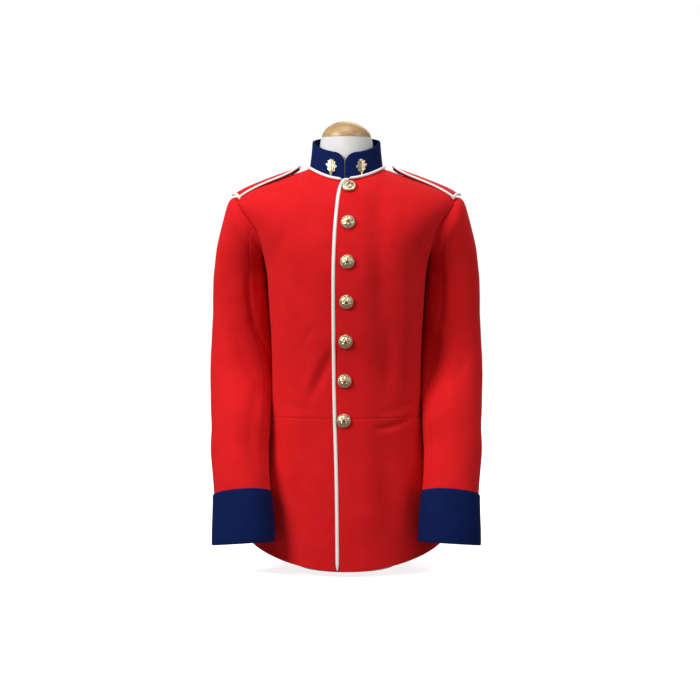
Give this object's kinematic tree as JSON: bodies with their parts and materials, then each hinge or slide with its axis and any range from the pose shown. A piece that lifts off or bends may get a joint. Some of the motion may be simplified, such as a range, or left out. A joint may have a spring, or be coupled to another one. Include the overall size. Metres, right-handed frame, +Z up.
{
  "type": "ceremonial tunic on a limbless dress form",
  "caption": "Full-dress wool tunic with stand collar, piped front, shoulder straps and deep cuffs, worn by a limbless dress form on a small round stand.",
  "frame": {"origin": "centre of the flat underside of the stand's base plate", "axes": "+Z up, +X towards the wearer's left, -Y towards the wearer's front"},
  "size_m": [0.504, 0.321, 0.82],
  "materials": {
    "red_wool": "smooth milled wool, matt, fine nap",
    "navy_wool": "smooth milled wool, matt",
    "white_piping": "wool-covered cord, matt",
    "gilt": "pale gilt, satin",
    "form_jersey": "white cotton jersey, matt",
    "cap_wood": "clear satin varnish",
    "white_metal": "white powder coat"
  },
  "bodies": {
    "root": {"front_left": "red_wool", "front_right": "red_wool", "back_left": "red_wool", "back_right": "red_wool", "skirt_front_left": "red_wool", "skirt_front_right": "red_wool", "skirt_back_left": "red_wool", "skirt_back_right": "red_wool", "top_sleeve_left": "red_wool", "top_sleeve_right": "red_wool", "under_sleeve_left": "red_wool", "under_sleeve_right": "red_wool", "shoulder_strap_left": "red_wool", "shoulder_strap_right": "red_wool", "collar": "navy_wool", "cuff_left": "navy_wool", "cuff_right": "navy_wool", "neck_piping": "white_piping", "front_piping": "white_piping", "strap_piping_left": "white_piping", "strap_piping_right": "white_piping", "button_1": "gilt", "button_2": "gilt", "button_3": "gilt", "button_4": "gilt", "button_5": "gilt", "button_6": "gilt", "button_7": "gilt", "collar_badge_left": "gilt", "collar_badge_right": "gilt", "form_torso": "form_jersey", "form_cap": "cap_wood", "form_post": "white_metal", "form_base": "white_metal"}
  },
  "joints": []
}
